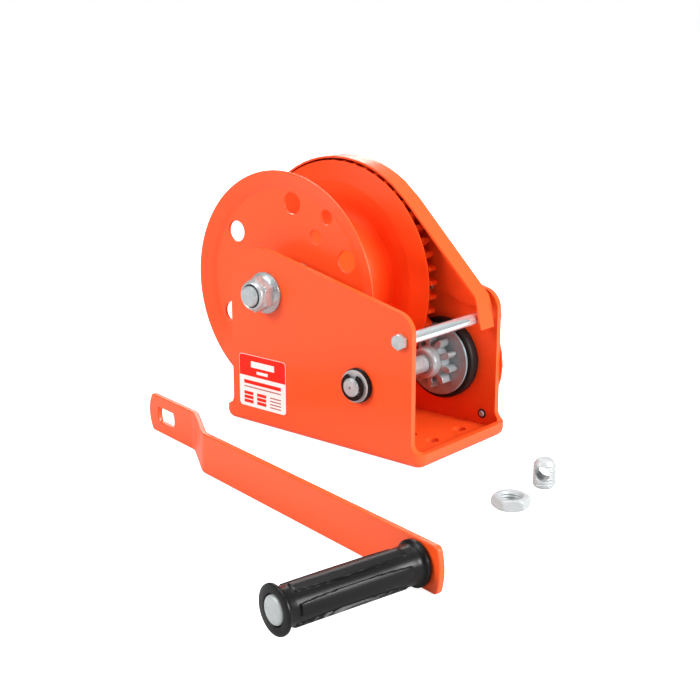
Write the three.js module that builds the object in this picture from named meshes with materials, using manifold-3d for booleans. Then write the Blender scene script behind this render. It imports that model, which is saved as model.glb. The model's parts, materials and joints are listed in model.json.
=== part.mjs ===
// Hand winch for a boat trailer, with its crank, crank nut and rope anchor lying loose beside it.
// Millimetres, +Z up. The drum turns about Y; the near side plate is at -Y, the brake side at +Y.
import * as THREE from 'three';
import { mergeVertices } from 'three/addons/utils/BufferGeometryUtils.js';
import Module from 'manifold-3d';

const wasm = await Module();
wasm.setup();

// ---- driving sizes -------------------------------------------------------------------------
const frameWidth = 111;        // over the outer faces of the two side plates
const plateT = 4.7;            // sheet of the channel frame
const plateFront = 90.8;       // front edge of the side plates
const plateRear = -88.6;       // rear edge of the side plates
const baseHalf = 99.6;         // half length of the base
const baseCornerR = 8;         // corners of the base seen from above
const bendR = 6.2;             // outside radius of the bottom bend
const lipTop = 11;             // height of the turned-up end lips

const drumX = -51.2;           // drum axle
const drumZ = 109.4;
const toothModule = 3.5;
const gearTeeth = 52;
const pinionTeeth = 10;
const meshAngle = -31;         // direction from the drum axle to the pinion, degrees
const backlash = 0.5;

const flangeR = 91.8;          // near drum flange
const flangeFarR = 93.6;       // far drum flange
const hubR = 46;
const sheetT = 2.5;            // drum sheet
const webNear = 24.1 - frameWidth / 2;    // outer face of the near flange web
const webFar = frameWidth / 2 - 32.1;     // inner face of the far flange web

const shaftR = 7;              // input shaft
const axleR = 8;               // M16 drum axle
const tieX = 80.9;
const tieZ = 93;
const tieR = 4.4;

const coverR = 97;             // gear cover, outside of the rim
const coverT = 1.6;
const coverNear = frameWidth / 2 - 25.6;
const coverFar = frameWidth / 2 - 8.5;

const armW = 29.6;             // crank arm
const armT = 4.4;
const armJog = 20;
const crankThrow = 321;
const armLength = crankThrow + 37;
const crankTurn = -11.94;      // how the crank lies on the ground, degrees
const crankX = -116.3;
const crankY = -115.9;

const slip = 0.3;              // clearance of a turning or bolted fit
const touch = 0.05;            // gap between flat faces that rest on each other

const halfW = frameWidth / 2;
const inner = halfW - plateT;
const pitchGear = toothModule * gearTeeth / 2;
const pitchPinion = toothModule * pinionTeeth / 2;
const centreDistance = pitchGear + pitchPinion;
const deg = Math.PI / 180;
const pinionX = drumX + centreDistance * Math.cos(meshAngle * deg);
const pinionZ = drumZ + centreDistance * Math.sin(meshAngle * deg);

// ---- materials -----------------------------------------------------------------------------
const finish = {
  orange: [0xf0501f, 0.32, 0.0],
  orangeDark: [0xe0451a, 0.4, 0.0],
  zinc: [0xc9ccd0, 0.28, 0.95],
  steel: [0x9a9da1, 0.42, 0.9],
  chrome: [0xe6e8ea, 0.12, 1.0],
  blackPlastic: [0x151515, 0.5, 0.0],
  blackRubber: [0x1b1b1c, 0.85, 0.0],
  friction: [0x3a342f, 0.9, 0.0],
  nylon: [0xdfe3ea, 0.5, 0.0],
  paper: [0xf6f2ee, 0.45, 0.0],
};
const root = new THREE.Group();
root.name = 'boat_trailer_winch';

function addPart(name, geometry, look, group = root) {
  const [colour, roughness, metalness] = finish[look];
  const mesh = new THREE.Mesh(geometry, new THREE.MeshStandardMaterial({ color: colour, roughness, metalness }));
  mesh.name = name;
  group.add(mesh);
  return mesh;
}

// ---- solids --------------------------------------------------------------------------------
function toSolid(geometry) {
  const g = geometry.clone();
  g.deleteAttribute('normal');
  g.deleteAttribute('uv');
  const merged = mergeVertices(g, 1e-4);
  return new wasm.Manifold(new wasm.Mesh({
    numProp: 3,
    vertProperties: new Float32Array(merged.attributes.position.array),
    triVerts: new Uint32Array(merged.index.array),
  }));
}

function toGeometry(solid) {
  const mesh = solid.getMesh();
  const g = new THREE.BufferGeometry();
  g.setAttribute('position', new THREE.BufferAttribute(new Float32Array(mesh.vertProperties), 3));
  g.setIndex(new THREE.BufferAttribute(new Uint32Array(mesh.triVerts), 1));
  const flat = g.toNonIndexed();
  flat.computeVertexNormals();
  return flat;
}

// shape drawn in x,z and given thickness along y
function slab(shape, y0, y1, segments = 10) {
  const g = new THREE.ExtrudeGeometry(shape, { depth: y1 - y0, bevelEnabled: false, curveSegments: segments });
  g.rotateX(Math.PI / 2);
  g.translate(0, y1, 0);
  return toSolid(g);
}

// shape drawn in x,y and given height along z
function block(shape, z0, z1, segments = 12) {
  const g = new THREE.ExtrudeGeometry(shape, { depth: z1 - z0, bevelEnabled: false, curveSegments: segments });
  g.translate(0, 0, z0);
  return toSolid(g);
}

// closed profile of [radius, y] points turned about the y axis through x,z
function turned(points, x, z, segments = 24) {
  const g = new THREE.LatheGeometry(points.map(([r, y]) => new THREE.Vector2(r, y)), segments);
  g.translate(x, 0, z);
  const solid = toSolid(g);
  return solid.volume() < 0 ? toSolid(flipped(g)) : solid;
}

function flipped(g) {
  const index = Array.from(g.index.array);
  for (let i = 0; i < index.length; i += 3) [index[i], index[i + 1]] = [index[i + 1], index[i]];
  const f = g.clone();
  f.setIndex(index);
  return f;
}

function rod(x, z, radius, y0, y1, segments = 20) {
  return turned([[0, y0], [radius, y0], [radius, y1], [0, y1]], x, z, segments);
}

function ring(x, z, rOut, rIn, y0, y1, segments = 24) {
  return turned([[rIn, y0], [rOut, y0], [rOut, y1], [rIn, y1], [rIn, y0]], x, z, segments);
}

function hexPrism(x, z, acrossFlats, y0, y1) {
  const g = new THREE.CylinderGeometry(acrossFlats / Math.sqrt(3), acrossFlats / Math.sqrt(3), y1 - y0, 6);
  g.translate(x, (y0 + y1) / 2, z);
  return toSolid(g);
}

function polygon(points) {
  const shape = new THREE.Shape();
  shape.moveTo(...points[0]);
  for (const p of points.slice(1)) shape.lineTo(...p);
  shape.closePath();
  return shape;
}

function roundedRect(halfX, halfY, r) {
  const s = new THREE.Shape();
  s.moveTo(-halfX + r, -halfY);
  s.lineTo(halfX - r, -halfY);
  s.absarc(halfX - r, -halfY + r, r, -Math.PI / 2, 0);
  s.lineTo(halfX, halfY - r);
  s.absarc(halfX - r, halfY - r, r, 0, Math.PI / 2);
  s.lineTo(-halfX + r, halfY);
  s.absarc(-halfX + r, halfY - r, r, Math.PI / 2, Math.PI);
  s.lineTo(-halfX, -halfY + r);
  s.absarc(-halfX + r, -halfY + r, r, Math.PI, Math.PI * 1.5);
  return s;
}

function boxSolid(x0, x1, y0, y1, z0, z1) {
  const g = new THREE.BoxGeometry(x1 - x0, y1 - y0, z1 - z0);
  g.translate((x0 + x1) / 2, (y0 + y1) / 2, (z0 + z1) / 2);
  return toSolid(g);
}

// ---- frame ---------------------------------------------------------------------------------
const tailR = 33.5;            // rounding round the drum axle
const noseR = 16;              // rounding over the tie bar
const tailX = plateRear + tailR;
const tailZ = drumZ + 0.3;
const noseX = plateFront - noseR;
const noseZ = 98;

function sidePlateShape(bottom) {
  const dx = noseX - tailX;
  const dz = noseZ - tailZ;
  const span = Math.hypot(dx, dz);
  const slope = Math.atan2(dz, dx) - Math.asin((tailR - noseR) / span);
  const normal = slope + Math.PI / 2;
  const s = new THREE.Shape();
  s.moveTo(plateRear, bottom);
  s.lineTo(plateFront, bottom);
  s.lineTo(plateFront, noseZ);
  s.absarc(noseX, noseZ, noseR, 0, normal, false);
  s.absarc(tailX, tailZ, tailR, normal, Math.PI, false);
  s.lineTo(plateRear, bottom);
  return s;
}

// open corner where the tall plate edge sweeps down into the end lip
function endCut(side) {
  const edge = side > 0 ? plateFront : -plateRear;
  const sweep = (baseHalf - edge) * 0.85;
  const steps = [[edge, 60]];
  for (let a = 0; a <= 90; a += 15) {
    steps.push([edge + sweep * (1 - Math.cos(a * deg)), lipTop + sweep * (1 - Math.sin(a * deg))]);
  }
  steps.push([baseHalf + 6, lipTop], [baseHalf + 6, 60]);
  return slab(polygon(steps.map(([x, z]) => [side * x, z])), -halfW - 5, halfW + 5);
}

const boltHoles = [[72.3, 30], [72.3, -5], [72.3, -40], [51.4, -5]];
const boltHoleR = 5.4;

// rounded block whose bottom edge turns in along the sheet's bend
function trayOutside() {
  const flat = baseHalf - bendR;
  const g = new THREE.ExtrudeGeometry(roundedRect(flat, halfW - bendR, baseCornerR - bendR), {
    depth: 22, bevelEnabled: true, bevelThickness: bendR, bevelSize: bendR, bevelSegments: 3, curveSegments: 3 });
  g.translate(0, 0, bendR);
  return toSolid(g).subtract(boxSolid(-baseHalf - 9, baseHalf + 9, -halfW - 9, halfW + 9, 20, 60));
}

function buildFrame() {
  const outside = trayOutside();
  const well = block(roundedRect(baseHalf - plateT, inner, baseCornerR - plateT), plateT, 60, 6);
  let tray = outside.subtract(well);
  const middle = inner - (baseCornerR - plateT);
  tray = tray.subtract(boxSolid(-baseHalf - 5, baseHalf + 5, -middle, middle, lipTop, 60));
  tray = tray.subtract(endCut(1)).subtract(endCut(-1));
  let body = tray;
  for (const side of [-1, 1]) {
    const y0 = side < 0 ? -halfW : inner;
    body = body.add(slab(sidePlateShape(8), y0, y0 + plateT));
    const holes = [[drumX, drumZ, axleR + slip], [tieX, tieZ, 3.3],
      [pinionX, pinionZ, side < 0 ? bushBody + slip : farBushR + slip]];
    for (const [x, z, r] of holes) body = body.subtract(rod(x, z, r, y0 - 1, y0 + plateT + 1));
  }
  for (const [x, z] of coverStuds) body = body.subtract(rod(x, z, 2.6, inner - 1, halfW + 1, 12));
  for (const [x, z] of brakeRivetSpots()) body = body.subtract(rod(x, z, 2.3, inner - 1, halfW + 1, 12));
  body = body.subtract(rod(pawlX, pawlZ, 3.1, inner - 1, halfW + 1, 16));
  for (const sign of [1, -1]) {
    for (const [x, y] of boltHoles) {
      const hole = new THREE.CylinderGeometry(boltHoleR, boltHoleR, 20, 16);
      hole.rotateX(Math.PI / 2);
      hole.translate(sign * x, y, 0);
      body = body.subtract(toSolid(hole));
    }
  }
  addPart('frame', toGeometry(body), 'orange');
}

// ---- gear cover ----------------------------------------------------------------------------
const tabBend = [84.6, 110.6];
const tabFoot = [90.4, 86.2];
const coverStuds = [[-20, 118], [30, 111.2], [-72, 82]];
const coverRearAngle = 196;

function coverPath(radius) {
  const points = [];
  for (let a = coverRearAngle; a >= 45; a -= 5.2069) {
    points.push([drumX + radius * Math.cos(a * deg), drumZ + radius * Math.sin(a * deg)]);
  }
  points.pop();
  const drop = coverR - radius;
  const tangent = [drumX + radius * Math.SQRT1_2, drumZ + radius * Math.SQRT1_2];
  points.push(tangent);
  const reach = (tabBend[0] - 3.2 - drumX) * Math.SQRT2 - coverR;
  points.push([tangent[0] + reach * Math.SQRT1_2 - drop * 0.2, tangent[1] - reach * Math.SQRT1_2 - drop * 0.1]);
  points.push([tabBend[0] - drop * 0.85, tabBend[1] - drop * 0.25]);
  points.push([tabBend[0] + 1.5 - drop, tabBend[1] - 4.2]);
  points.push([tabFoot[0] - drop, tabFoot[1]]);
  return points;
}

function buildGearCover() {
  const outer = coverPath(coverR);
  const innerPath = coverPath(coverR - coverT);
  const rim = slab(polygon([...outer, ...innerPath.slice().reverse()]), coverNear, coverFar);
  const foot = outer[outer.length - 1];
  const back = polygon([...outer.slice(0, -1), [foot[0] - 2.2, 100.2], [65.9, 99.9], [61.2, 101.2], [49.7, 105],
    [40, 107.2], [26, 108], [10, 92], [2, 72], [-14, 52], [-60, 52], [-110, 66], [-128, 80]]);
  let body = rim.add(slab(back, coverFar - coverT, coverFar));
  body = body.subtract(rod(drumX, drumZ, sleeveR + 1, coverNear, coverFar + 1));
  for (const [x, z] of coverStuds) body = body.subtract(rod(x, z, 2.6, coverNear, coverFar + 1, 12));
  addPart('gear_cover', toGeometry(body), 'orange');
  coverStuds.forEach(([x, z], i) => {
    const stud = turned([[0, coverFar - 3.4], [4.2, coverFar - 3.1], [4.2, coverFar - coverT - touch], [2.2, coverFar - coverT - touch],
      [2.2, coverFar + touch], [4.6, coverFar + touch], [4.6, inner - touch], [2.2, inner - touch],
      [2.2, halfW + touch], [4.2, halfW + touch], [3.4, halfW + 2], [0, halfW + 2.2]], x, z, 12);
    addPart(`cover_rivet_${i + 1}`, toGeometry(stud), 'zinc');
  });
}

// ---- tie bar -------------------------------------------------------------------------------
const boltAF = 10.5;

function buildTieBar() {
  addPart('tie_bar', toGeometry(ring(tieX, tieZ, tieR, 3.3, -inner + touch, inner - touch, 28)), 'chrome');
  for (const [side, label] of [[-1, 'near'], [1, 'far']]) {
    const face = side < 0 ? halfW + touch : halfW + brimT + 3 * touch;
    const shank = side < 0 ? rod(tieX, tieZ, 3, -face, -12, 20) : rod(tieX, tieZ, 3, 12, face, 20);
    const head = side < 0 ? hexPrism(tieX, tieZ, boltAF, -face - 4.2, -face) : hexPrism(tieX, tieZ, boltAF, face, face + 4.2);
    const cone = side < 0
      ? turned([[0, -face - 4.2], [boltAF * 0.5, -face - 4.2], [boltAF * 0.75, -face - 2.6], [boltAF * 0.75, -face], [0, -face]], tieX, tieZ, 16)
      : turned([[0, face], [boltAF * 0.75, face], [boltAF * 0.75, face + 2.6], [boltAF * 0.5, face + 4.2], [0, face + 4.2]], tieX, tieZ, 16);
    addPart(`tie_bolt_${label}`, toGeometry(head.intersect(cone).add(shank)), 'zinc');
  }
}

// ---- drum axle -----------------------------------------------------------------------------
const axleNutFace = -halfW - touch;
const sleeveR = 11.5;

function buildAxle() {
  const bolt = turned([[0, -halfW - 19.1], [axleR - 1.2, -halfW - 19.1], [axleR, -halfW - 17.9], [axleR, halfW + 0.5], [0, halfW + 0.5]], drumX, drumZ, 28);
  const head = hexPrism(drumX, drumZ, 24, halfW + touch, halfW + 10);
  const headCone = turned([[0, halfW], [16.2, halfW], [16.2, halfW + 1.8], [13.9, halfW + 2.4], [13.9, halfW + 8.6],
    [11.4, halfW + 10], [0, halfW + 10]], drumX, drumZ, 28);
  const collar = rod(drumX, drumZ, 16, halfW + touch, halfW + 1.8, 28);
  addPart('drum_axle', toGeometry(bolt.add(head.intersect(headCone)).add(collar)), 'zinc');

  const y = axleNutFace;
  const flange = turned([[0, y - 4.2], [12.6, y - 4.2], [16.2, y - 1.9], [16.2, y], [0, y]], drumX, drumZ, 24);
  const hex = hexPrism(drumX, drumZ, 24, y - 13.4, y - 1);
  const hexCone = turned([[0, y - 13.4], [11.9, y - 13.4], [13.9, y - 12.2], [13.9, y], [0, y]], drumX, drumZ, 18);
  const crown = turned([[0, y - 16.6], [9.9, y - 16.6], [11.4, y - 15.2], [11.4, y - 12], [0, y - 12]], drumX, drumZ, 24);
  let nut = flange.add(hex.intersect(hexCone)).add(crown);
  nut = nut.subtract(rod(drumX, drumZ, axleR + slip, y - 14.2, y + 1, 28));
  nut = nut.subtract(rod(drumX, drumZ, 9.4, y - 20, y - 14.1, 28));
  addPart('axle_nut', toGeometry(nut), 'zinc');
  addPart('nut_insert', toGeometry(ring(drumX, drumZ, 9.1, axleR + slip, y - 16, y - 14.15, 24)), 'nylon');
  addPart('axle_sleeve', toGeometry(ring(drumX, drumZ, sleeveR, axleR + slip, -inner + touch, inner - touch, 28)), 'steel');
}

// ---- drum ----------------------------------------------------------------------------------
const bushOut = 15;
const ropeHoleR = 5.5;
const bigHoleR = 8.3;
const rivetRing = 24;

function buildDrum() {
  const n = webNear;
  const near = turned([
    [bushOut + slip, n], [70, n], [81.4, n - 2.6], [91, n - 6.4], [flangeR, n - 6],
    [flangeR, n - 4.8], [82, n - 0.4], [70, n + sheetT],
    [bushOut + slip, n + sheetT], [bushOut + slip, n]], drumX, drumZ, 48);
  let nearBody = near;
  for (let k = 0; k < 6; k += 1) {
    const a = (24.8 + 60 * k) * deg;
    nearBody = nearBody.subtract(rod(drumX + 66.8 * Math.cos(a), drumZ + 66.8 * Math.sin(a), bigHoleR, n - 9, n + 9, 20));
  }
  for (const r of [52.4, 72]) {
    const a = 55.3 * deg;
    nearBody = nearBody.subtract(rod(drumX + r * Math.cos(a), drumZ + r * Math.sin(a), ropeHoleR, n - 9, n + 9, 16));
  }
  for (let k = 0; k < 4; k += 1) {
    const [x, z] = rivetSpot(k);
    nearBody = nearBody.subtract(rod(x, z, 3.1, n - 9, n + 9, 12));
  }
  addPart('drum_flange_near', toGeometry(nearBody), 'orange');

  const f = webFar;
  let far = turned([
    [bushOut + slip, f], [70, f], [81.4, f + 1.6], [flangeFarR - 1, f + 4],
    [flangeFarR, f + 4.4], [flangeFarR, f + 5.6], [81, f + 4.5], [70, f + sheetT],
    [bushOut + slip, f + sheetT], [bushOut + slip, f]], drumX, drumZ, 48);
  for (let k = 0; k < 4; k += 1) {
    const [x, z] = rivetSpot(k);
    far = far.subtract(rod(x, z, 3.1, f - 9, f + 9, 12));
  }
  addPart('drum_flange_far', toGeometry(far), 'orange');

  const h0 = webNear + sheetT + touch;
  const h1 = webFar - touch;
  const hub = turned([[hubR - 3, h0], [hubR, h0], [hubR, h1 - 11], [hubR + 1, h1 - 6.4], [hubR + 3.8, h1 - 3],
    [hubR + 8, h1 - 1], [hubR + 12, h1 - 0.6], [hubR + 12, h1], [hubR - 3, h1], [hubR - 3, h0]], drumX, drumZ, 32);
  addPart('drum_hub', toGeometry(hub), 'orange');

  for (const [label, y0, y1, flangeSide] of [['near', n - 1.6, n + 6, -1], ['far', f - 3.5, gearFar + 1.6, 1]]) {
    const yEnd = flangeSide < 0 ? y0 : y1;
    const step = flangeSide < 0 ? n - touch : gearFar + touch;
    const points = flangeSide < 0
      ? [[sleeveR + slip, yEnd], [18, yEnd], [18, step], [bushOut, step], [bushOut, y1], [sleeveR + slip, y1], [sleeveR + slip, yEnd]]
      : [[sleeveR + slip, y0], [bushOut, y0], [bushOut, step], [18, step], [18, yEnd], [sleeveR + slip, yEnd], [sleeveR + slip, y0]];
    addPart(`drum_bush_${label}`, toGeometry(turned(points, drumX, drumZ, 28)), 'nylon');
  }

  for (let k = 0; k < 4; k += 1) {
    const [x, z] = rivetSpot(k);
    const through = turned([[0, n - 2], [4.4, n - 1.6], [4.8, n - touch], [2.6, n - touch], [2.6, n + sheetT + touch],
      [5, n + sheetT + touch], [5, f - touch], [2.6, f - touch], [2.6, gearFar + touch], [4.8, gearFar + touch],
      [4.4, gearFar + 1.6], [0, gearFar + 2]], x, z, 12);
    addPart(`drum_stay_${k + 1}`, toGeometry(through), 'steel');
  }
}

function rivetSpot(k) {
  const a = (45 + 90 * k) * deg;
  return [drumX + rivetRing * Math.cos(a), drumZ + rivetRing * Math.sin(a)];
}

// ---- gear pair -----------------------------------------------------------------------------
const gearNear = halfW - 25.3;
const gearFar = halfW - 17.3;
const gearTip = 93.8;
const pinionNear = halfW - 25.9;
const pinionFar = halfW - 15.5;
const pinionTip = pitchPinion + toothModule - 0.2;

function involute(a) {
  return Math.tan(a) - a;
}

function toothOutline(teeth, tipR, rootR, phase, thin, undercut, flankSteps) {
  const pitchR = toothModule * teeth / 2;
  const baseR = pitchR * Math.cos(20 * deg);
  const halfAtPitch = Math.PI / (2 * teeth) - thin / (4 * pitchR);
  const halfAt = (r) => {
    const clipped = Math.max(r, baseR);
    const plain = halfAtPitch + involute(20 * deg) - involute(Math.acos(baseR / clipped));
    return r < baseR ? plain * (1 - undercut * (baseR - r) / (baseR - rootR)) : plain;
  };
  const start = Math.max(rootR, Math.min(baseR, tipR));
  const radii = rootR < baseR ? [rootR, (rootR + baseR) / 2, baseR] : [rootR];
  const from = radii[radii.length - 1];
  for (let i = 1; i <= flankSteps; i += 1) radii.push(Math.max(from, start) + (tipR - Math.max(from, start)) * i / flankSteps);
  const points = [];
  for (let k = 0; k < teeth; k += 1) {
    const mid = phase + k * 2 * Math.PI / teeth;
    for (const r of radii) points.push([r * Math.cos(mid - halfAt(r)), r * Math.sin(mid - halfAt(r))]);
    for (const r of radii.slice().reverse()) points.push([r * Math.cos(mid + halfAt(r)), r * Math.sin(mid + halfAt(r))]);
  }
  return points;
}

const gearOutline = toothOutline(gearTeeth, gearTip, pitchGear - 1.25 * toothModule, meshAngle * deg, backlash, 0, 1);
const pinionOutline = toothOutline(pinionTeeth, pinionTip, pitchPinion - 1.25 * toothModule,
  (meshAngle + 180 + 180 / pinionTeeth) * deg, backlash, 0.3, 2);

function buildGears() {
  let gear = slab(polygon(gearOutline.map(([x, z]) => [x + drumX, z + drumZ])), gearNear, gearFar, 8);
  gear = gear.add(rod(drumX, drumZ, 40, webFar + sheetT + touch, gearNear + 1, 36));
  gear = gear.subtract(rod(drumX, drumZ, bushOut + slip, webFar, gearFar + 1, 24));
  for (let k = 0; k < 4; k += 1) {
    const [x, z] = rivetSpot(k);
    gear = gear.subtract(rod(x, z, 3.1, webFar, gearFar + 1, 12));
  }
  addPart('drum_gear', toGeometry(gear), 'orange');

  let pinion = slab(polygon(pinionOutline.map(([x, z]) => [x + pinionX, z + pinionZ])), pinionNear, pinionFar, 8);
  const collarR = shaftR + 5.2;
  const foot = pinionNear - 8.1;
  pinion = pinion.add(turned([[0, foot], [collarR - 1.8, foot], [collarR, foot + 1.9], [collarR, pinionNear + 1], [0, pinionNear + 1]],
    pinionX, pinionZ, 36));
  pinion = pinion.subtract(rod(pinionX, pinionZ, shaftR + slip, foot - 1, pinionFar + 1, 24));
  addPart('pinion', toGeometry(pinion), 'steel');
}

// ---- input shaft and brake -----------------------------------------------------------------
const bushBody = shaftR + 3.6;
const farBushR = shaftR + 5.4;
const discR = 28.8;
const sealR = 32.4;
const brimR = 51.2;            // brake cover brim
const brimT = 1.6;
const brakeRivetRing = 54.6;
const driveAF = 11.2;
const driveR = 12;

const pawlX = pinionX - 27;
const pawlZ = pinionZ + 21.2;
const pawlLift = 13;          // degrees the pawl swings clear of the teeth
const ratchetTip = 27;
const ratchetNear = halfW + 2.9;
const ratchetFar = halfW + 7.9;
const ratchetTeeth = 12;

function brakeRivetSpots() {
  return [-47.2, 133, 225].map((a) => [pinionX + brakeRivetRing * Math.cos(a * deg), pinionZ + brakeRivetRing * Math.sin(a * deg)]);
}

function buildInputShaft() {
  const end = -halfW - 9.9;
  const groove = shaftR - 1.4;
  const shaft = turned([[0, end], [shaftR - 1.2, end], [shaftR, end + 1], [shaftR, end + 2.2], [groove, end + 2.2],
    [groove, end + 3.5], [shaftR, end + 3.5], [shaftR, halfW + 22.5], [0, halfW + 22.5]], pinionX, pinionZ, 28);
  const drive = rod(pinionX, pinionZ, driveR, halfW + 21.5, halfW + 36.5, 32)
    .intersect(boxSolid(pinionX - 40, pinionX + 40, halfW, halfW + 44, pinionZ - driveAF / 2, pinionZ + driveAF / 2));
  const tip = halfW + 50.5;
  const thread = turned([[0, tip - 15], [axleR - 0.2, tip - 15], [axleR - 0.2, tip - 1.4], [6.6, tip], [0, tip]], pinionX, pinionZ, 32);
  addPart('input_shaft', toGeometry(shaft.add(drive).add(thread)), 'zinc');

  const disc = turned([[shaftR + slip, pinionFar + touch], [discR - 1.4, pinionFar + touch], [discR, pinionFar + 0.9],
    [discR, pinionFar + 1.7], [shaftR + slip, pinionFar + 1.7], [shaftR + slip, pinionFar + touch]], pinionX, pinionZ, 28);
  addPart('pinion_disc', toGeometry(disc), 'zinc');

  addPart('brake_seal', toGeometry(turned([[farBushR + 4, inner - 3.2], [24, inner - 3.2], [26, pinionFar + 2.2], [sealR - 0.8, pinionFar + 2.2], [sealR, pinionFar + 3],
    [sealR, inner - touch], [farBushR + 4, inner - touch], [farBushR + 4, inner - 3.2]], pinionX, pinionZ, 28)), 'blackRubber');

  const bush = turned([[shaftR + slip, -halfW - 3.4], [shaftR + 5.4, -halfW - 3.4], [shaftR + 6, -halfW - 2.8], [shaftR + 6, -halfW - touch], [bushBody, -halfW - touch],
    [bushBody, -inner + 2.5], [shaftR + slip, -inner + 2.5], [shaftR + slip, -halfW - 3.4]], pinionX, pinionZ, 28);
  addPart('shaft_bush_near', toGeometry(bush), 'blackPlastic');
  const farBush = turned([[shaftR + slip, inner - 3], [farBushR + 3.4, inner - 3], [farBushR + 3.4, inner - touch], [farBushR, inner - touch],
    [farBushR, halfW + 1], [shaftR + slip, halfW + 1], [shaftR + slip, inner - 3]], pinionX, pinionZ, 28);
  addPart('shaft_bush_far', toGeometry(farBush), 'steel');
  addPart('shaft_washer', toGeometry(ring(pinionX, pinionZ, shaftR + 5.2, shaftR + slip, -halfW - 5.1, -halfW - 3.6, 28)), 'zinc');
  buildClip();
}

function buildClip() {
  const shape = new THREE.Shape();
  const mouth = 0.42;
  const outer = shaftR + 3.4;
  const gap = shaftR - 0.9;
  const points = [];
  for (let i = 0; i <= 28; i += 1) {
    const a = Math.PI / 2 + mouth + (2 * Math.PI - 2 * mouth) * i / 28;
    points.push([outer * Math.cos(a), outer * Math.sin(a)]);
  }
  for (let i = 0; i <= 30; i += 1) {
    const a = Math.PI / 2 - mouth - (2 * Math.PI - 2 * mouth) * i / 30;
    const r = Math.abs(Math.sin(1.5 * (a - Math.PI / 2))) > 0.5 ? gap : gap + 2;
    points.push([r * Math.cos(a), r * Math.sin(a)]);
  }
  shape.moveTo(pinionX + points[0][0], pinionZ + points[0][1]);
  for (const p of points.slice(1)) shape.lineTo(pinionX + p[0], pinionZ + p[1]);
  shape.closePath();
  addPart('retaining_clip', toGeometry(slab(shape, -halfW - 7.6, -halfW - 6.5, 4)), 'blackPlastic');
}

function ratchetOutline() {
  const points = [];
  for (let k = 0; k < ratchetTeeth; k += 1) {
    const a = k * 2 * Math.PI / ratchetTeeth + 0.1;
    const step = 2 * Math.PI / ratchetTeeth;
    for (const [turn, r] of [[0, ratchetTip], [0.1, ratchetTip], [0.16, ratchetTip - 5.5], [0.6, ratchetTip - 3.2]]) {
      points.push([pinionX + r * Math.cos(a + step * turn), pinionZ + r * Math.sin(a + step * turn)]);
    }
  }
  return points;
}

function buildBrake() {
  let ratchet = slab(polygon(ratchetOutline()), ratchetNear, ratchetFar, 4);
  ratchet = ratchet.subtract(rod(pinionX, pinionZ, shaftR + 2.5, ratchetNear - 1, ratchetFar + 1, 24));
  addPart('ratchet_wheel', toGeometry(ratchet), 'steel');
  addPart('friction_disc_inner', toGeometry(ring(pinionX, pinionZ, 20.6, shaftR + 2.5, ratchetNear - 1.8, ratchetNear - touch, 24)), 'friction');
  addPart('friction_disc_outer', toGeometry(ring(pinionX, pinionZ, 20.6, shaftR + 2.5, ratchetFar + touch, ratchetFar + 1.8, 24)), 'friction');
  const hub = turned([[shaftR + slip, ratchetFar + 2], [21.4, ratchetFar + 2], [21.4, ratchetFar + 5], [13.5, ratchetFar + 5.6],
    [13.5, ratchetFar + 13], [shaftR + slip, ratchetFar + 13], [shaftR + slip, ratchetFar + 2]], pinionX, pinionZ, 32);
  addPart('drive_hub', toGeometry(hub), 'zinc');

  const pin = turned([[0, inner + 0.3], [3, inner + 0.3], [3, ratchetFar + 2.6], [4.4, ratchetFar + 2.6], [4.4, ratchetFar + 4], [0, ratchetFar + 4]],
    pawlX, pawlZ, 16);
  addPart('pawl_pin', toGeometry(pin), 'steel');
  addPart('pawl_spacer', toGeometry(ring(pawlX, pawlZ, 5, 3.1, halfW + touch, ratchetNear - 0.2, 16)), 'steel');
  buildPawl();

  const brimTop = halfW + touch + brimT;
  const domeTop = halfW + 19.1;
  const cover = [[15.2, domeTop], [35.4, domeTop], [40.6, domeTop - 2.8], [44.4, domeTop - 8.2], [46.6, domeTop - 13.6],
    [47.4, brimTop], [brimR, brimTop], [brimR, halfW + touch], [45.5, halfW + touch], [44.8, domeTop - 13.8],
    [42.7, domeTop - 8.8], [39.2, domeTop - 4.3], [34.6, domeTop - 2], [15.2, domeTop - 2], [15.2, domeTop]];
  let dish = turned(cover, pinionX, pinionZ, 32);
  const middle = rod(pinionX, pinionZ, 46.4, halfW - 1, domeTop - 6, 32);
  for (const [x, z, r, hole] of [[tieX, tieZ, 9.6, 3.4], ...brakeRivetSpots().map((spot) => [...spot, 7.2, 2.3])]) {
    dish = dish.add(rod(x, z, r, halfW + touch, brimTop, 20).subtract(middle));
    dish = dish.subtract(rod(x, z, hole, halfW - 1, domeTop - 4, 12));
  }
  dish = dish.subtract(rod(tieX, tieZ, 8.2, brimTop, domeTop + 5, 20));
  addPart('brake_cover', toGeometry(dish), 'orangeDark');
  brakeRivetSpots().forEach(([x, z], i) => {
    const rivet = turned([[0, inner - 1.2], [1.6, inner - 1.5], [2.4, inner - 0.9], [2.4, inner - touch], [2, inner - touch],
      [2, brimTop + touch], [3.6, brimTop + touch], [3.2, brimTop + 1.2], [0, brimTop + 1.8]], x, z, 12);
    addPart(`brake_rivet_${i + 1}`, toGeometry(rivet), 'orangeDark');
  });
}

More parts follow.
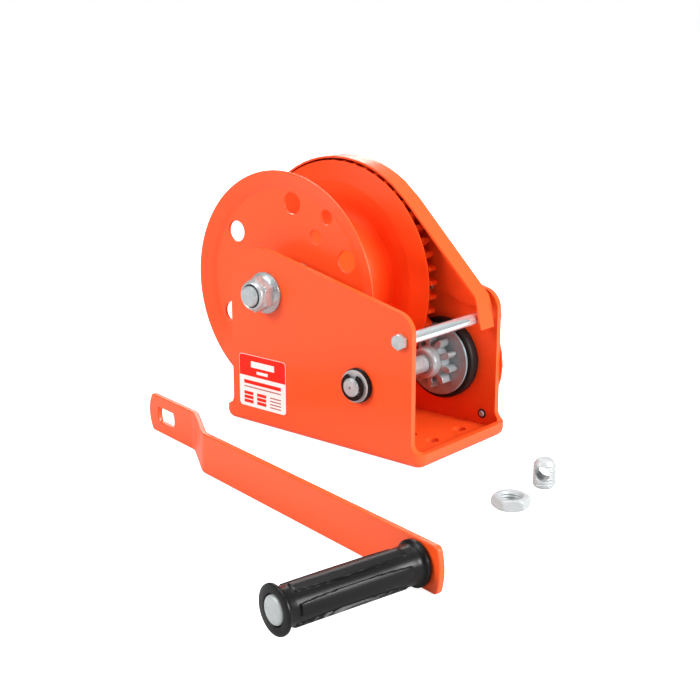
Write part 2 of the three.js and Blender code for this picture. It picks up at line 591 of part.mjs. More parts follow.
function buildPawl() {
  const reach = ratchetTip - 2.6;
  const tipAngle = 128 * deg;
  const tip = [pinionX + reach * Math.cos(tipAngle), pinionZ + reach * Math.sin(tipAngle)];
  const boss = rod(pawlX, pawlZ, 6, ratchetNear + 0.4, ratchetFar - 0.4, 28);
  const along = [tip[0] - pawlX, tip[1] - pawlZ];
  const size = Math.hypot(...along);
  const u = [along[0] / size, along[1] / size];
  const v = [-u[1], u[0]];
  const at = (a, b) => [pawlX + u[0] * a + v[0] * b, pawlZ + u[1] * a + v[1] * b];
  const finger = slab(polygon([at(0, -5), at(size - 1, -1.4), at(size, 1), at(size - 1.6, 3.4), at(0, 5.4)]),
    ratchetNear + 0.4, ratchetFar - 0.4, 4);
  let pawl = boss.add(finger);
  pawl = pawl.subtract(rod(pawlX, pawlZ, 3.3, ratchetNear - 1, ratchetFar + 1, 24));
  for (let lift = 0; lift <= pawlLift; lift += 1) {
    const c = Math.cos(lift * deg);
    const d = Math.sin(lift * deg);
    const grown = ratchetOutline().map(([x, z]) => {
      const r = Math.hypot(x - pinionX, z - pinionZ);
      const [gx, gz] = [x + (x - pinionX) * slip / r - pawlX, z + (z - pinionZ) * slip / r - pawlZ];
      return [pawlX + gx * c + gz * d, pawlZ - gx * d + gz * c];
    });
    pawl = pawl.subtract(slab(polygon(grown), ratchetNear, ratchetFar, 4));
  }
  addPart('pawl', toGeometry(pawl), 'steel');
  const coil = [];
  for (let i = 0; i <= 30; i += 1) {
    const a = i / 30 * Math.PI * 2 * 1.7 + 2.1;
    coil.push(new THREE.Vector3(pawlX + 6.6 * Math.cos(a), ratchetFar + 0.5 + i / 30 * 1.9, pawlZ + 6.6 * Math.sin(a)));
  }
  addPart('pawl_spring', toGeometry(wire(coil, 0.42, 30)), 'steel');
}

function wire(points, radius, steps) {
  const section = [];
  for (let i = 0; i < 6; i += 1) section.push([radius * Math.cos(i * Math.PI / 3), radius * Math.sin(i * Math.PI / 3)]);
  return toSolid(new THREE.ExtrudeGeometry(polygon(section), { steps, bevelEnabled: false,
    extrudePath: new THREE.CatmullRomCurve3(points) }));
}

// ---- sticker ---------------------------------------------------------------------
function buildLabel() {
  const label = new THREE.Shape();
  const [x0, x1, z0, z1, r] = [-81.2, -31.2, 14.6, 57, 3];
  label.moveTo(x0 + r, z0);
  label.lineTo(x1 - r, z0);
  label.absarc(x1 - r, z0 + r, r, -Math.PI / 2, 0);
  label.lineTo(x1, z1 - r);
  label.absarc(x1 - r, z1 - r, r, 0, Math.PI / 2);
  label.lineTo(x0 + r, z1);
  label.absarc(x0 + r, z1 - r, r, Math.PI / 2, Math.PI);
  label.lineTo(x0, z0 + r);
  label.absarc(x0 + r, z0 + r, r, Math.PI, Math.PI * 1.5);
  addPart('label', toGeometry(slab(label, -halfW - 0.35, -halfW - touch, 6)), 'paper');
}

// ---- crank ---------------------------------------------------------------------------------
// drawn with u along the arm, y away from the viewer and z up, then laid down where it rests
const hubHole = 18.5;
const gripAt = hubHole + crankThrow;
const gripLength = 98.1;
const gripFlange = 14.8;
const gripBody = 12.3;

const crankGroup = new THREE.Group();
crankGroup.rotation.z = crankTurn * deg;
crankGroup.position.set(crankX, crankY, 0);
root.add(crankGroup);

function armSideShape() {
  const front = [[-6, 0], [54, 0], [60, -1.1], [66, -3.8], [92, 3.6 - armJog], [98, 1 - armJog], [105, -armJog], [armLength + 4, -armJog]];
  const back = front.map(([u, y]) => [u + (u > 50 && u < 110 ? 1.4 : 0), y + armT]);
  return polygon([...front, ...back.reverse()]);
}

function armFaceShape() {
  const s = new THREE.Shape();
  const end = armLength;
  s.moveTo(1.2, 0);
  s.lineTo(end - 7.5, 0);
  s.quadraticCurveTo(end - 4.6, 0.6, end - 2.6, 5);
  s.quadraticCurveTo(end + 2.2, armW / 2, end - 2.6, armW - 5);
  s.quadraticCurveTo(end - 4.6, armW - 0.6, end - 7.5, armW);
  s.lineTo(1.6, armW);
  s.quadraticCurveTo(-0.4, armW - 0.3, -1.2, armW - 2.4);
  s.quadraticCurveTo(-8.4, armW / 2, -1.4, 2);
  s.quadraticCurveTo(-0.6, 0.2, 1.2, 0);
  return s;
}

function buildCrank() {
  const side = block(armSideShape(), 0, armW);
  let arm = side.intersect(slab(armFaceShape(), -40, 20, 5));
  const bore = rod(hubHole, armW / 2, driveR + slip, -5, 10, 32)
    .intersect(boxSolid(-20, 60, -10, 20, armW / 2 - driveAF / 2 - slip, armW / 2 + driveAF / 2 + slip));
  arm = arm.subtract(bore);
  arm = arm.subtract(rod(gripAt, armW / 2, 5.1, -armJog - 5, 0, 28));
  addPart('crank_arm', toGeometry(arm), 'orange', crankGroup);

  const face = -armJog;
  const outer = face - 1 - gripLength;
  const spindle = turned([[0, face + armT + 3], [6.4, face + armT + 2.2], [7.6, face + armT + touch], [5, face + armT + touch],
    [5, outer - 0.6], [9, outer - 0.6], [9, outer - 1.6], [7.2, outer - 3], [0, outer - 3.5]], gripAt, armW / 2, 24);
  addPart('grip_spindle', toGeometry(spindle), 'zinc', crankGroup);
  addPart('grip_washer', toGeometry(ring(gripAt, armW / 2, 10, 5.1, face - 0.9, face - touch, 20)), 'zinc', crankGroup);
  addPart('grip', toGeometry(gripSolid(face - 1, outer)), 'blackPlastic', crankGroup);
}

function gripSolid(inside, outside) {
  const bore = 5.4;
  let body = turned([[bore, outside], [gripFlange - 0.8, outside], [gripFlange, outside + 0.8], [gripFlange, outside + 3.4],
    [gripFlange - 1, outside + 4.8], [gripBody - 1.2, outside + 7], [gripBody - 1.6, outside + 50], [gripBody - 1.2, inside - 6],
    [gripFlange - 1, inside - 4], [gripFlange, inside - 3], [gripFlange, inside - 0.6], [gripFlange - 0.6, inside], [bore, inside],
    [bore, outside]], gripAt, armW / 2, 28);
  for (let k = 0; k < 8; k += 1) {
    const a = (22.5 + 45 * k) * deg;
    const rib = polygon([[-3.1, 9], [3.1, 9], [2.3, gripBody - 0.1], [1.2, gripBody + 0.4], [-1.2, gripBody + 0.4], [-2.3, gripBody - 0.1]]
      .map(([p, q]) => [gripAt + q * Math.cos(a) - p * Math.sin(a), armW / 2 + q * Math.sin(a) + p * Math.cos(a)]));
    body = body.add(slab(rib, outside + 9, inside - 8, 4));
  }
  return body;
}

// ---- loose parts ---------------------------------------------------------------------------
const viewTurn = -49.6;        // both small parts are turned the same way

function buildLoose() {
  const nutAF = 23.2;
  const hex = new THREE.CylinderGeometry(nutAF / Math.sqrt(3), nutAF / Math.sqrt(3), 7.6, 6);
  hex.rotateX(Math.PI / 2);
  const height = 7.6;
  const chamfer = uprightTurned([[0, -height / 2], [11.4, -height / 2], [nutAF * 0.58, -height / 2 + 1.2],
    [nutAF * 0.58, height / 2 - 1.2], [11.4, height / 2], [0, height / 2]], 24);
  let nut = toSolid(hex).intersect(chamfer);
  const bore = uprightTurned([[0, -9], [8.8, -9], [8.8, -height / 2], [7.4, -height / 2 + 1.2], [7.4, height / 2 - 1.2], [8.8, height / 2], [8.8, 9], [0, 9]], 24);
  const loose = addPart('crank_nut', toGeometry(nut.subtract(bore)), 'zinc');
  loose.rotation.z = (viewTurn + 60) * deg;
  loose.position.set(184.8, -68, height / 2);

  const top = 20;
  let barrel = uprightTurned([[0, 0], [6.4, 0], [8, 1.8], [8, top - 3.4], [5.4, top - 0.3], [0, top]], 28);
  const drill = new THREE.CylinderGeometry(5.3, 5.3, 30, 20);
  drill.rotateZ(Math.PI / 2);
  drill.translate(0, 0, 10.9);
  barrel = barrel.subtract(toSolid(drill));
  const anchor = addPart('rope_anchor', toGeometry(barrel), 'zinc');
  anchor.rotation.z = -74 * deg;
  anchor.position.set(182, -22.5, 0);
}

function uprightTurned(points, segments) {
  const g = new THREE.LatheGeometry(points.map(([r, y]) => new THREE.Vector2(r, y)), segments);
  g.rotateX(Math.PI / 2);
  const solid = toSolid(g);
  return solid.volume() < 0 ? toSolid(flipped(g)) : solid;
}

buildFrame();
buildGearCover();
buildTieBar();
buildAxle();
buildDrum();
buildGears();
buildInputShaft();
buildBrake();
buildLabel();
buildCrank();
buildLoose();

export default root;
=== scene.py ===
import bmesh
import bpy
import json
import math
from mathutils import Matrix, Vector


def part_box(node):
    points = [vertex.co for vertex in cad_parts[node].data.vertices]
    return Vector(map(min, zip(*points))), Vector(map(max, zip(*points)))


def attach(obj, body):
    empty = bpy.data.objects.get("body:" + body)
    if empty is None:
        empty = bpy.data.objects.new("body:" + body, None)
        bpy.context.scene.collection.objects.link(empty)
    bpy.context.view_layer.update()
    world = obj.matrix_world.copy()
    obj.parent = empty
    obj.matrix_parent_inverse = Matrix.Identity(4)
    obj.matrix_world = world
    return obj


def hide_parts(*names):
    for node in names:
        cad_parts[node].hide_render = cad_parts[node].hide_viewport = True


# Boat trailer winch: painted folded frame, rope drum, gear and brake. Its crank, nut and rope anchor lie beside it.
# Sizes in the dictionaries are millimetres; y runs along the drum axle, from the near plate to the brake side.

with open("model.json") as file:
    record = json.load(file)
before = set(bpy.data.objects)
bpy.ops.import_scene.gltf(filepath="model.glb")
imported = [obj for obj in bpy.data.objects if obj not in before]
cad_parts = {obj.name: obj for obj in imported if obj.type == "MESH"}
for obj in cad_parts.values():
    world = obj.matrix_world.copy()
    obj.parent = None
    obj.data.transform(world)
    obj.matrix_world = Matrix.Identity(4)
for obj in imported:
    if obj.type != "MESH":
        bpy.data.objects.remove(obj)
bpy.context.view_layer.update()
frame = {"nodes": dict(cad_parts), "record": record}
nodes = frame["nodes"]
mm = 0.001
bodyOf = {n: body for body, members in frame["record"]["behaviour"]["bodies"].items() for n in members}


def centreOf(node):
    low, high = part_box(node)
    return (low + high) / 2 / mm


def spanOf(node):
    low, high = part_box(node)
    return low / mm, high / mm


drumAxis = centreOf("drum_axle")
shaftAxis = centreOf("input_shaft")
tieAxis = centreOf("tie_bar")

# shaping tools


def newPiece(name, verts, faces, material, body, stands=(), smooth=35):
    mesh = bpy.data.meshes.new(name)
    mesh.from_pydata([tuple(c * mm for c in v) for v in verts], [], faces)
    return placed(name, mesh, material, body, stands, smooth)


def placed(name, mesh, material, body, stands=(), smooth=35):
    tidy = bmesh.new()
    tidy.from_mesh(mesh)
    bmesh.ops.remove_doubles(tidy, verts=tidy.verts, dist=1e-6)
    bmesh.ops.recalc_face_normals(tidy, faces=tidy.faces)
    tidy.to_mesh(mesh)
    tidy.free()
    mesh.polygons.foreach_set("use_smooth", [True] * len(mesh.polygons))
    mesh.set_sharp_from_angle(angle=math.radians(smooth))
    piece = bpy.data.objects.new(name, mesh)
    bpy.context.scene.collection.objects.link(piece)
    mesh.materials.clear()
    mesh.materials.append(material)
    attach(piece, body)
    if stands:
        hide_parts(*stands)
    return piece


def rounded(points, radius, steps=3, closed=False):
    # takes the corners off a line of points
    out = []
    count = len(points)
    for i, p in enumerate(points):
        if not closed and i in (0, count - 1):
            out.append(tuple(p))
            continue
        here = Vector(p)
        before, after = Vector(points[i - 1]) - here, Vector(points[(i + 1) % count]) - here
        reach = min(radius, before.length * 0.45, after.length * 0.45)
        start, end = here + before.normalized() * reach, here + after.normalized() * reach
        for k in range(steps + 1):
            t = k / steps
            q = start * (1 - t) ** 2 + here * 2 * t * (1 - t) + end * t ** 2
            out.append(tuple(q))
    return out


def joinRings(faces, first, second):
    # a band of four-sided faces between two rings of vertices
    count = len(first)
    for k in range(count):
        n = (k + 1) % count
        faces.append((first[k], first[n], second[n], second[k]))


def turnedMesh(profile, axis, segments=96):
    # profile points are [radius, height] and the axis is along y, through axis.x and axis.z
    verts, faces, rings = [], [], []
    for r, h in profile:
        if r < 1e-5:
            rings.append([len(verts)])
            verts.append((axis.x, h, axis.z))
            continue
        rings.append(list(range(len(verts), len(verts) + segments)))
        angles = [2 * math.pi * k / segments for k in range(segments)]
        verts += [(axis.x + r * math.cos(a), h, axis.z + r * math.sin(a)) for a in angles]
    for a, b in zip(rings, rings[1:]):
        if len(a) > 1 and len(b) > 1:
            joinRings(faces, a, b)
            continue
        for k in range(segments):
            n = (k + 1) % segments
            if len(b) > 1:
                faces.append((a[0], b[k], b[n]))
            elif len(a) > 1:
                faces.append((a[k], a[n], b[0]))
    return verts, faces


def band(inner, outer, low, high):
    # closed profile of a plain ring
    return [(inner, low), (outer, low), (outer, high), (inner, high), (inner, low)]


def turned(name, profile, axis, material, body, stands=(), segments=96, fillet=0.35, smooth=35):
    closed = profile[0] == profile[-1]
    line = profile[:-1] if closed else profile
    line = rounded(line, fillet, 2, closed)
    if closed:
        line.append(line[0])
    verts, faces = turnedMesh(line, axis, segments)
    return newPiece(name, verts, faces, material, body, stands, smooth)


def circleLine(x, z, r, count=48):
    angles = [2 * math.pi * k / count for k in range(count)]
    return [(x + r * math.cos(a), z + r * math.sin(a)) for a in angles]


def plateMesh(name, outline, holes, y0, y1, bevel=0.3, steps=2):
    # flat plate in x,z with softened edges, between y0 and y1
    curve = bpy.data.curves.new(name, "CURVE")
    curve.dimensions = "2D"
    curve.fill_mode = "BOTH"
    curve.extrude = (y1 - y0) / 2 - bevel
    curve.bevel_depth = bevel
    curve.bevel_resolution = steps
    curve.offset = -bevel
    for line in [outline, *holes]:
        spline = curve.splines.new("POLY")
        spline.points.add(len(line) - 1)
        for point, (x, z) in zip(spline.points, line):
            point.co = (x, z, 0, 1)
        spline.use_cyclic_u = True
    holder = bpy.data.objects.new(name, curve)
    bpy.context.scene.collection.objects.link(holder)
    bpy.context.view_layer.update()
    mesh = bpy.data.meshes.new_from_object(holder.evaluated_get(bpy.context.evaluated_depsgraph_get()))
    bpy.data.objects.remove(holder)
    mesh.transform(Matrix(((mm, 0, 0, 0), (0, 0, mm, (y0 + y1) / 2 * mm), (0, mm, 0, 0), (0, 0, 0, 1))))
    return mesh


def plate(name, outline, holes, y0, y1, material, body, stands=(), bevel=0.3, smooth=50):
    piece = placed(name, plateMesh(name, outline, holes, y0, y1, bevel), material, body, stands, smooth)
    steadyShading(piece)
    return piece


def steadyShading(piece):
    weight = piece.modifiers.new("steady shading", "WEIGHTED_NORMAL")
    weight.mode = "FACE_AREA"
    weight.keep_sharp = True


def refined(node, material, bevel=0.3, steps=2, angle=32, smooth=35, flat=0.6):
    # a cleaner copy of a plain part: joined flats, softened edges
    mesh = nodes[node].data.copy()
    clean = bmesh.new()
    clean.from_mesh(mesh)
    bmesh.ops.remove_doubles(clean, verts=clean.verts, dist=2e-6)
    bmesh.ops.dissolve_limit(clean, angle_limit=math.radians(flat), verts=clean.verts, edges=clean.edges)
    clean.to_mesh(mesh)
    clean.free()
    piece = placed(node + "_finished", mesh, material, bodyOf[node], [node], smooth)
    if bevel:
        edge = piece.modifiers.new("soft edges", "BEVEL")
        edge.width = bevel * mm
        edge.segments = steps
        edge.limit_method = "ANGLE"
        edge.angle_limit = math.radians(angle)
        edge.harden_normals = False
    steadyShading(piece)
    return piece


def cut(piece, tool):
    knife = piece.modifiers.new("cut", "BOOLEAN")
    knife.operation = "DIFFERENCE"
    knife.solver = "EXACT"
    knife.object = tool
    bpy.context.view_layer.update()
    mesh = bpy.data.meshes.new_from_object(piece.evaluated_get(bpy.context.evaluated_depsgraph_get()))
    piece.modifiers.remove(knife)
    old = piece.data
    piece.data = mesh
    bpy.data.meshes.remove(old)
    bpy.data.objects.remove(tool)
    mesh.polygons.foreach_set("use_smooth", [True] * len(mesh.polygons))
    mesh.set_sharp_from_angle(angle=math.radians(35))


def cutter(verts, faces):
    mesh = bpy.data.meshes.new("tool")
    mesh.from_pydata([tuple(c * mm for c in v) for v in verts], [], faces)
    tidy = bmesh.new()
    tidy.from_mesh(mesh)
    bmesh.ops.recalc_face_normals(tidy, faces=tidy.faces)
    tidy.to_mesh(mesh)
    tidy.free()
    tool = bpy.data.objects.new("tool", mesh)
    bpy.context.scene.collection.objects.link(tool)
    return tool


def threadedMesh(rOuter, depth, pitch, low, high, x, y, segments=64, chamfer=1.2):
    # upright threaded shank, chamfered at both ends
    stepsPerTurn = 6
    count = int((high - low) / pitch * stepsPerTurn)
    heights = [low + (high - low) * k / count for k in range(count + 1)]
    verts, faces = [], []
    for h in heights:
        edge = min(h - low, high - h)
        for k in range(segments):
            a = 2 * math.pi * k / segments
            wave = abs(((h / pitch - k / segments) % 1) * 2 - 1)
            r = rOuter - depth * wave
            if edge < chamfer:
                r = min(r, rOuter - (chamfer - edge))
            verts.append((x + r * math.cos(a), y + r * math.sin(a), h))
    rings = [list(range(j * segments, (j + 1) * segments)) for j in range(len(heights))]
    for a, b in zip(rings, rings[1:]):
        joinRings(faces, a, b)
    return verts, faces


# finishes


def groupNode(tree, kind, **values):
    node = tree.nodes.new(kind)
    for key, value in values.items():
        setattr(node, key, value)
    return node


def effectGroup(name, inputs):
    # empty node group: a colour input for each tuple, a plain number for the rest, and the three shared outputs
    group = bpy.data.node_groups.new(name, "ShaderNodeTree")
    for label, value in inputs.items():
        kind = "NodeSocketColor" if isinstance(value, tuple) else "NodeSocketFloat"
        group.interface.new_socket(label, in_out="INPUT", socket_type=kind).default_value = value
    for label, kind in (("Colour", "Color"), ("Roughness", "Float"), ("Height", "Float")):
        group.interface.new_socket(label, in_out="OUTPUT", socket_type="NodeSocket" + kind)
    return group


def sprayedCoatGroup():
    # broad tone changes, small specks and a fine dimpled surface for sprayed paint
    group = effectGroup("sprayed coat", {"Colour": (0.8, 0.1, 0.02, 1), "Speck colour": (0.2, 0.05, 0.02, 1),
                                         "Tone change": 0.06, "Specks": 0.6, "Roughness": 0.3, "Dimple size": 420.0})
    link = group.links.new
    inside, outside = group.nodes.new("NodeGroupInput"), group.nodes.new("NodeGroupOutput")
    where = group.nodes.new("ShaderNodeTexCoord")
    broad = group.nodes.new("ShaderNodeTexNoise")
    broad.inputs["Scale"].default_value = 14
    broad.inputs["Detail"].default_value = 3
    link(where.outputs["Object"], broad.inputs["Vector"])
    tone = groupNode(group, "ShaderNodeMath", operation="MULTIPLY_ADD")
    link(broad.outputs["Fac"], tone.inputs[0])
    link(inside.outputs["Tone change"], tone.inputs[1])
    tone.inputs[2].default_value = 0.97
    shade = groupNode(group, "ShaderNodeVectorMath", operation="SCALE")
    link(inside.outputs["Colour"], shade.inputs[0])
    link(tone.outputs[0], shade.inputs["Scale"])
    dots = group.nodes.new("ShaderNodeTexVoronoi")
    dots.inputs["Scale"].default_value = 65
    link(where.outputs["Object"], dots.inputs["Vector"])
    near = groupNode(group, "ShaderNodeMath", operation="LESS_THAN")
    link(dots.outputs["Distance"], near.inputs[0])
    near.inputs[1].default_value = 0.045
    pick = group.nodes.new("ShaderNodeSeparateColor")
    link(dots.outputs["Color"], pick.inputs[0])
    few = groupNode(group, "ShaderNodeMath", operation="GREATER_THAN")
    link(pick.outputs[0], few.inputs[0])
    few.inputs[1].default_value = 0.93
    speck = groupNode(group, "ShaderNodeMath", operation="MULTIPLY")
    link(near.outputs[0], speck.inputs[0])
    link(few.outputs[0], speck.inputs[1])
    amount = groupNode(group, "ShaderNodeMath", operation="MULTIPLY")
    link(speck.outputs[0], amount.inputs[0])
    link(inside.outputs["Specks"], amount.inputs[1])
    mix = groupNode(group, "ShaderNodeMix", data_type="RGBA")
    link(amount.outputs[0], mix.inputs["Factor"])
    link(shade.outputs[0], mix.inputs[6])
    link(inside.outputs["Speck colour"], mix.inputs[7])
    link(mix.outputs[2], outside.inputs["Colour"])
    dimple = group.nodes.new("ShaderNodeTexNoise")
    dimple.inputs["Detail"].default_value = 2
    link(where.outputs["Object"], dimple.inputs["Vector"])
    link(inside.outputs["Dimple size"], dimple.inputs["Scale"])
    link(dimple.outputs["Fac"], outside.inputs["Height"])
    rough = groupNode(group, "ShaderNodeMath", operation="MULTIPLY_ADD")
    link(broad.outputs["Fac"], rough.inputs[0])
    rough.inputs[1].default_value = 0.12
    link(inside.outputs["Roughness"], rough.inputs[2])
    link(rough.outputs[0], outside.inputs["Roughness"])
    return group


def platedSteelGroup():
    # fine lines or clouding on plated and machined steel
    group = effectGroup("plated steel", {"Colour": (0.7, 0.7, 0.7, 1), "Dull colour": (0.4, 0.4, 0.4, 1),
                                         "Roughness": 0.25, "Roughness change": 0.2, "Grain size": 200.0, "Stretch": 1.0})
    link = group.links.new
    inside, outside = group.nodes.new("NodeGroupInput"), group.nodes.new("NodeGroupOutput")
    where = group.nodes.new("ShaderNodeTexCoord")
    spread = group.nodes.new("ShaderNodeCombineXYZ")
    spread.inputs[0].default_value = 1
    spread.inputs[2].default_value = 1
    link(inside.outputs["Stretch"], spread.inputs[1])
    scaled = groupNode(group, "ShaderNodeVectorMath", operation="MULTIPLY")
    link(where.outputs["Object"], scaled.inputs[0])
    link(spread.outputs[0], scaled.inputs[1])
    cloud = group.nodes.new("ShaderNodeTexNoise")
    cloud.inputs["Detail"].default_value = 4
    link(scaled.outputs[0], cloud.inputs["Vector"])
    link(inside.outputs["Grain size"], cloud.inputs["Scale"])
    mix = groupNode(group, "ShaderNodeMix", data_type="RGBA")
    link(cloud.outputs["Fac"], mix.inputs["Factor"])
    link(inside.outputs["Colour"], mix.inputs[6])
    link(inside.outputs["Dull colour"], mix.inputs[7])
    link(mix.outputs[2], outside.inputs["Colour"])
    rough = groupNode(group, "ShaderNodeMath", operation="MULTIPLY_ADD")
    link(cloud.outputs["Fac"], rough.inputs[0])
    link(inside.outputs["Roughness change"], rough.inputs[1])
    link(inside.outputs["Roughness"], rough.inputs[2])
    link(rough.outputs[0], outside.inputs["Roughness"])
    link(cloud.outputs["Fac"], outside.inputs["Height"])
    return group


sprayedCoat = sprayedCoatGroup()
platedSteel = platedSteelGroup()


def finish(name, group, values, bump, metallic=0.0, coat=0.0, specular=0.5):
    material = bpy.data.materials.new(name)
    material.use_nodes = True
    tree = material.node_tree
    shader = tree.nodes["Principled BSDF"]
    shader.inputs["Metallic"].default_value = metallic
    shader.inputs["Coat Weight"].default_value = coat
    shader.inputs["Coat Roughness"].default_value = 0.06
    shader.inputs["Specular IOR Level"].default_value = specular
    effect = tree.nodes.new("ShaderNodeGroup")
    effect.node_tree = group
    for key, value in values.items():
        effect.inputs[key].default_value = value
    relief = tree.nodes.new("ShaderNodeBump")
    relief.inputs["Strength"].default_value = bump
    relief.inputs["Distance"].default_value = 0.0002
    tree.links.new(effect.outputs["Colour"], shader.inputs["Base Color"])
    tree.links.new(effect.outputs["Roughness"], shader.inputs["Roughness"])
    tree.links.new(effect.outputs["Height"], relief.inputs["Height"])
    tree.links.new(relief.outputs["Normal"], shader.inputs["Normal"])
    return material


def sprayed(name, colour, speck, tone, specks, roughness, dimple, bump, coat=0.0, specular=0.5):
    values = {"Colour": (*colour, 1), "Speck colour": (*speck, 1), "Tone change": tone, "Specks": specks,
              "Roughness": roughness, "Dimple size": dimple}
    return finish(name, sprayedCoat, values, bump, 0.0, coat, specular)


def plated(name, colour, dull, roughness, change, grain, stretch, bump, metallic):
    values = {"Colour": (*colour, 1), "Dull colour": (*dull, 1), "Roughness": roughness,
              "Roughness change": change, "Grain size": grain, "Stretch": stretch}
    return finish(name, platedSteel, values, bump, metallic)


# paint, plastic and print
orangePaint = sprayed("orange paint", colour=(0.9, 0.085, 0.012), speck=(0.25, 0.03, 0.01), tone=0.06, specks=0.7,
                      roughness=0.34, dimple=300.0, bump=0.03, coat=0.1, specular=0.32)
# darker copy of the orange paint: painted shade for the far flange, hub and drum gear, which lie behind the near flange
# and under the covers
shadedDrumPaint = sprayed("drum paint with painted shade", colour=(0.86, 0.062, 0.006), speck=(0.25, 0.03, 0.01), tone=0.06, specks=0.7,
                    roughness=0.4, dimple=300.0, bump=0.03, specular=0.14)
coverPaint = sprayed("brake cover paint", colour=(0.86, 0.085, 0.014), speck=(0.25, 0.03, 0.01), tone=0.08, specks=0.7,
                     roughness=0.34, dimple=260.0, bump=0.05, coat=0.12, specular=0.35)
blackPlastic = sprayed("black plastic", colour=(0.006, 0.006, 0.006), speck=(0.05, 0.05, 0.05), tone=0.3, specks=0.2,
                       roughness=0.24, dimple=900.0, bump=0.05, specular=0.14)
blackRing = sprayed("black ring", colour=(0.008, 0.008, 0.008), speck=(0.05, 0.05, 0.05), tone=0.3, specks=0.2,
                    roughness=0.4, dimple=600.0, bump=0.1, specular=0.2)
frictionLining = sprayed("friction lining", colour=(0.06, 0.05, 0.042), speck=(0.3, 0.2, 0.1), tone=0.5, specks=1.0,
                         roughness=0.8, dimple=1500.0, bump=0.5)
nylon = sprayed("nylon", colour=(0.62, 0.65, 0.7), speck=(0.3, 0.3, 0.3), tone=0.06, specks=0.2,
                roughness=0.4, dimple=500.0, bump=0.05)
whiteFilm = sprayed("sticker film", colour=(0.92, 0.88, 0.86), speck=(0.6, 0.5, 0.45), tone=0.02, specks=0.2,
                    roughness=0.35, dimple=500.0, bump=0.02, coat=0.3)
redInk = sprayed("red print", colour=(0.8, 0.014, 0.002), speck=(0.8, 0.3, 0.2), tone=0.05, specks=0.2,
                 roughness=0.45, dimple=500.0, bump=0.02, specular=0.2)
greyInk = sprayed("grey print", colour=(0.35, 0.12, 0.1), speck=(0.8, 0.8, 0.8), tone=0.05, specks=0.2,
                  roughness=0.35, dimple=500.0, bump=0.02, coat=0.3)

# steel
zincPlate = plated("zinc plate", colour=(0.54, 0.575, 0.585), dull=(0.3, 0.33, 0.34), roughness=0.2,
                   change=0.14, grain=160.0, stretch=1.0, bump=0.03, metallic=0.5)
satinSteel = plated("satin steel", colour=(0.48, 0.5, 0.505), dull=(0.32, 0.34, 0.345), roughness=0.38,
                    change=0.15, grain=240.0, stretch=1.0, bump=0.04, metallic=0.15)
discSteel = plated("rolled steel", colour=(0.36, 0.46, 0.48), dull=(0.17, 0.23, 0.25), roughness=0.28,
                   change=0.2, grain=90.0, stretch=1.0, bump=0.06, metallic=0.4)
toothSteel = plated("cut steel", colour=(0.5, 0.54, 0.55), dull=(0.24, 0.27, 0.28), roughness=0.22,
                    change=0.2, grain=220.0, stretch=0.3, bump=0.08, metallic=0.5)
brightTube = plated("bright tube", colour=(0.78, 0.84, 0.85), dull=(0.7, 0.76, 0.77), roughness=0.1,
                    change=0.06, grain=60.0, stretch=0.1, bump=0.01, metallic=0.75)
springSteel = plated("dark steel", colour=(0.3, 0.3, 0.31), dull=(0.14, 0.14, 0.14), roughness=0.3,
                     change=0.3, grain=180.0, stretch=1.0, bump=0.1, metallic=1.0)
print("finishes made")

# frame and cover
frameLook = {"softEdge": 0.9, "steps": 3}
refined("frame", orangePaint, frameLook["softEdge"], frameLook["steps"], angle=40, smooth=40)
refined("gear_cover", orangePaint, 0.4, 2, angle=40, smooth=30)
refined("brake_cover", coverPaint, 0.5, 3, angle=50, smooth=35)
for k in (1, 2, 3):
    refined(f"brake_rivet_{k}", satinSteel, 0.25)
    low, high = spanOf(f"brake_rivet_{k}")
    spot = (low + high) / 2
    foot, top = low.y + 0.9, low.y + 1.42
    turned(f"rivet_seal_{k}", [(2.45, foot), (3.5, foot), (3.7, foot + 0.3), (3.7, top), (2.45, top), (2.45, foot)],
           spot, blackRing, "frame", segments=32, fillet=0.1)
    refined(f"cover_rivet_{k}", zincPlate, 0.25)
print("frame and covers done")

# drum
drumLook = {"holeRing": 66.8, "holeR": 8.25, "holeStart": 24.8, "clampRings": (52.4, 72.0), "clampR": 5.5,
            "clampAngle": 55.3, "sheet": 2.5, "hub": 46.0, "bore": 15.3, "lip": 0.7, "flare": (16.0, 17.0)}


def drumSpot(ring, angle):
    a = math.radians(angle)
    return drumAxis.x + ring * math.cos(a), drumAxis.z + ring * math.sin(a)


def flangeProfile(node, outward):
    # dished disc: flat web, a crease and a cone that opens away from the rope
    low, high = spanOf(node)
    r, bore = (high.x - low.x) / 2, drumLook["bore"]
    if outward < 0:
        web, tip = high.y - drumLook["sheet"], low.y
        outside = [(72, web), (77.5, web - 0.5), (81.4, web - 2.6), (r - 1.2, tip + 0.1), (r, tip + 0.2)]
        inside = [(r, tip + 1.2), (r - 0.8, tip + 1.9), (82, web - 0.4), (78, web + 1.9), (72, web + 2.5)]
    else:
        web, tip = low.y, high.y
        outside = [(70, web), (78, web + 0.7), (r - 1, tip - 1.5), (r, tip - 1.2)]
        inside = [(r, tip - 0.3), (r - 0.8, tip), (80, web + 3.6), (70, web + 2.5)]
    return [(bore, web), *outside, *inside, (bore, web + 2.5), (bore, web)]


